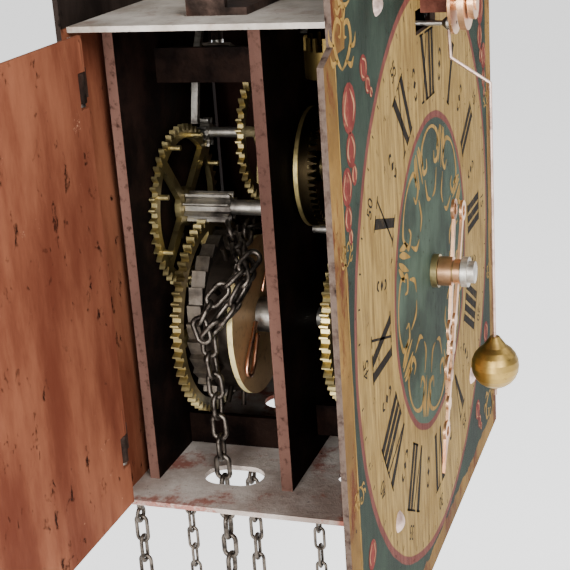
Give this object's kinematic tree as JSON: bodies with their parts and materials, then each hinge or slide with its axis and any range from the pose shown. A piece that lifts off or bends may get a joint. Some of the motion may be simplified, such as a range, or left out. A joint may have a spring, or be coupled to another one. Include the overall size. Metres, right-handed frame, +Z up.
{
  "type": "zappler clock",
  "caption": "Small iron wall clock with an arched painted dial, a short pendulum beating in front of it, an open side door, chains, weights and a striking train with a bell.",
  "frame": {"origin": "centre of the hanging hole, on the rear face of the back plate, which lies on the wall", "axes": "+X right as seen from the front, +Y into the wall, +Z up"},
  "size_m": [0.2245, 0.1102, 0.36],
  "materials": {
    "base_iron": "worn grey paint over red primer, matt",
    "top_iron": "worn grey paint, matt",
    "back_iron": "dark paint, matt",
    "dial_paint": "painted cream, green and red, aged and matt",
    "door_paint": "red-brown paint, chipped",
    "plate_iron": "forged iron, dark and slightly rusted",
    "brass": "old brass, dull",
    "steel": "old steel, worn",
    "iron": "forged iron, dark",
    "copper": "copper-coloured spring wire",
    "fly_tin": "thin tinned sheet, dull"
  },
  "bodies": {
    "case": {"base_plate": "base_iron", "top_plate": "top_iron", "back_plate": "back_iron", "dial_plate": "dial_paint", "dial_rivets": "steel", "dial_bush": "brass", "front_plate": "plate_iron", "middle_plate": "plate_iron", "rear_plate": "plate_iron", "lower_rail": "plate_iron", "upper_rail": "plate_iron", "front_rail": "plate_iron", "chain_hooks": "steel", "hinge_straps": "iron", "hinge_pins": "steel", "hammer_stand": "iron", "bell_stand": "iron", "bell": "brass", "crown_bracket": "iron", "front_cock": "iron", "cock_rosette": "brass", "wheel_studs": "steel", "round_nuts": "steel", "strike_chain": "steel", "going_chain": "steel"},
    "left_door_leaf": {"left_door": "door_paint"},
    "right_door_leaf": {"right_door": "door_paint"},
    "strike_great": {"strike_arbor": "steel", "strike_great_wheel": "brass"},
    "strike_drum": {"strike_ratchet": "steel", "strike_pulley": "steel", "strike_disc": "brass", "strike_click_spring": "copper"},
    "strike_second": {"second_arbor": "steel", "second_wheel": "brass"},
    "strike_third": {"third_arbor": "steel", "third_wheel": "brass"},
    "strike_fly": {"fly_arbor": "steel", "fly": "fly_tin"},
    "strike_count": {"count_wheel": "brass"},
    "strike_hammer": {"hammer": "steel"},
    "strike_load": {"strike_weight": "iron"},
    "going_great": {"going_arbor": "steel", "going_great_wheel": "brass"},
    "going_drum": {"going_pulley": "steel"},
    "going_load": {"going_weight": "iron"},
    "going_second": {"going_second_arbor": "steel", "going_second_wheel": "brass"},
    "going_contrate": {"contrate_arbor": "steel", "contrate_wheel": "brass"},
    "going_crown": {"crown_arbor": "steel", "crown_wheel": "brass"},
    "pallets": {"verge": "steel", "pendulum": "steel", "bob": "brass"},
    "minute": {"minute_works": "brass", "minute_hand": "brass"},
    "intermediate": {"intermediate_wheel": "brass"},
    "hour": {"hour_works": "brass", "hour_hand": "brass"}
  },
  "joints": [
    {"name": "left_door_swing", "type": "hinge", "parent": "case", "child": "left_door_leaf", "pos_m": [-0.0506, -0.0039, -0.1095], "axis": [0, 0, 1], "range_deg": [0, 90]},
    {"name": "right_door_swing", "type": "hinge", "parent": "case", "child": "right_door_leaf", "pos_m": [0.0506, -0.0039, -0.1095], "axis": [0, 0, 1], "range_deg": [0, 90]},
    {"name": "strike_great_turn", "type": "hinge", "parent": "case", "child": "strike_great", "pos_m": [0, -0.0157, -0.1339], "axis": [0, 1, 0], "continuous": true, "deforming": ["strike_chain"]},
    {"name": "strike_drum_winding", "type": "hinge", "parent": "strike_great", "child": "strike_drum", "pos_m": [0, -0.0257, -0.1339], "axis": [0, 1, 0], "continuous": true, "deforming": ["strike_chain"]},
    {"name": "strike_second_turn", "type": "hinge", "parent": "case", "child": "strike_second", "pos_m": [0, -0.0157, -0.0999], "axis": [0, 1, 0], "continuous": true},
    {"name": "strike_third_turn", "type": "hinge", "parent": "case", "child": "strike_third", "pos_m": [0.02145, -0.0257, -0.0819], "axis": [0, 1, 0], "continuous": true},
    {"name": "fly_turn", "type": "hinge", "parent": "case", "child": "strike_fly", "pos_m": [0.02701, -0.0257, -0.05958], "axis": [0, 1, 0], "continuous": true},
    {"name": "count_wheel_turn", "type": "hinge", "parent": "case", "child": "strike_count", "pos_m": [0, -0.0037, -0.1094], "axis": [0, 1, 0], "continuous": true},
    {"name": "hammer_swing", "type": "hinge", "parent": "case", "child": "strike_hammer", "pos_m": [0.03, -0.0257, -0.029], "axis": [0, 1, 0], "range_deg": [0, 10]},
    {"name": "strike_weight_travel", "type": "slide", "parent": "case", "child": "strike_load", "axis": [0, 0, 1], "range_m": [0, 0.042], "deforming": ["strike_chain"]},
    {"name": "going_great_turn", "type": "hinge", "parent": "case", "child": "going_great", "pos_m": [0, -0.0557, -0.1339], "axis": [0, 1, 0], "continuous": true, "deforming": ["going_chain"]},
    {"name": "going_drum_winding", "type": "hinge", "parent": "going_great", "child": "going_drum", "pos_m": [0, -0.0657, -0.1339], "axis": [0, 1, 0], "continuous": true, "deforming": ["going_chain"]},
    {"name": "going_weight_travel", "type": "slide", "parent": "case", "child": "going_load", "axis": [0, 0, 1], "range_m": [0, 0.042], "deforming": ["going_chain"]},
    {"name": "going_second_turn", "type": "hinge", "parent": "case", "child": "going_second", "pos_m": [0, -0.0657, -0.1059], "axis": [0, 1, 0], "continuous": true},
    {"name": "contrate_turn", "type": "hinge", "parent": "case", "child": "going_contrate", "pos_m": [0, -0.0657, -0.0867], "axis": [0, 1, 0], "continuous": true},
    {"name": "crown_turn", "type": "hinge", "parent": "case", "child": "going_crown", "pos_m": [0, -0.05806, -0.0675], "axis": [0, 0, 1], "continuous": true},
    {"name": "pendulum_swing", "type": "hinge", "parent": "case", "child": "pallets", "pos_m": [0, -0.0657, -0.046], "axis": [0, 1, 0], "range_deg": [-20, 20]},
    {"name": "minute_turn", "type": "hinge", "parent": "case", "child": "minute", "pos_m": [0, -0.0857, -0.1175], "axis": [0, 1, 0], "continuous": true},
    {"name": "intermediate_turn", "type": "hinge", "parent": "case", "child": "intermediate", "pos_m": [0.012, -0.0827, -0.1175], "axis": [0, 1, 0], "continuous": true},
    {"name": "hour_turn", "type": "hinge", "parent": "case", "child": "hour", "pos_m": [0, -0.0857, -0.1175], "axis": [0, 1, 0], "continuous": true}
  ],
  "couplings": [
    {"joint": "strike_second_turn", "follows": "strike_great_turn", "ratio": -7.5},
    {"joint": "strike_third_turn", "follows": "strike_great_turn", "ratio": 45},
    {"joint": "fly_turn", "follows": "strike_great_turn", "ratio": -300},
    {"joint": "count_wheel_turn", "follows": "strike_great_turn", "ratio": -0.16667},
    {"joint": "going_second_turn", "follows": "going_great_turn", "ratio": -6},
    {"joint": "contrate_turn", "follows": "going_great_turn", "ratio": 42},
    {"joint": "crown_turn", "follows": "going_great_turn", "ratio": -378},
    {"joint": "minute_turn", "follows": "going_great_turn", "ratio": -1},
    {"joint": "intermediate_turn", "follows": "going_great_turn", "ratio": 0.33333},
    {"joint": "hour_turn", "follows": "going_great_turn", "ratio": -0.083333}
  ]
}
